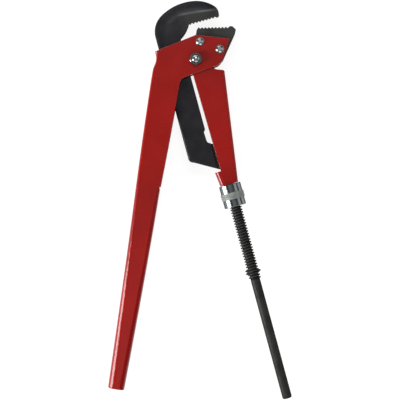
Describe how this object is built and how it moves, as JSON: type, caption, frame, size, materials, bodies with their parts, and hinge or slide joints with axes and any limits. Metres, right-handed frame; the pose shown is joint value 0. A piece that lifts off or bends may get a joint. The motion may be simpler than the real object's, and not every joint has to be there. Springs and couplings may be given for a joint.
{
  "type": "pipe wrench",
  "caption": "Two-lever pipe wrench: a hook jaw on a threaded rod slides in a swivelling holder, and a knurled nut sets how far it opens from the fixed toothed jaw.",
  "frame": {"origin": "centre of the bounding box's bottom face, with the wrench lying on its side and the jaws closed to 8 mm", "axes": "+Z through the wrench's thickness along the pivot bolt, +Y along its length to the jaws, +X to the side that the jaws open to"},
  "size_m": [0.1964, 0.4257, 0.0361],
  "materials": {
    "red_paint": "gloss red paint on pressed steel",
    "black_forging": "dark heat-treated forging with a thin coat of oil",
    "dark_steel": "blackened bar, satin",
    "zinc_plate": "bright zinc plate"
  },
  "bodies": {
    "handle": {"fixed_handle": "red_paint", "fixed_jaw": "black_forging", "jaw_rivet_upper": "zinc_plate", "jaw_rivet_lower": "zinc_plate", "pivot_bolt": "zinc_plate", "pivot_nut": "zinc_plate"},
    "holder": {"swivel_holder": "red_paint", "pivot_bush": "dark_steel"},
    "hook": {"hook_jaw": "black_forging", "adjusting_rod": "dark_steel", "rod_pin": "dark_steel"},
    "nut": {"adjusting_nut": "zinc_plate"}
  },
  "joints": [
    {"name": "handle_swing", "type": "hinge", "parent": "handle", "child": "holder", "pos_m": [-0.0043, 0.15, 0.0171], "axis": [0, 0, -1], "range_deg": [0, 15]},
    {"name": "jaw_slide", "type": "slide", "parent": "holder", "child": "hook", "axis": [-0.2613, 0.9652, 0], "range_m": [-0.0025, 0.066]},
    {"name": "nut_spin", "type": "hinge", "parent": "holder", "child": "nut", "pos_m": [0.0349, 0.00521, 0.0171], "axis": [-0.2613, 0.9652, 0], "range_deg": [-7930, 310]}
  ],
  "couplings": [
    {"joint": "nut_spin", "follows": "jaw_slide", "rad_per_m": -2094.4}
  ]
}
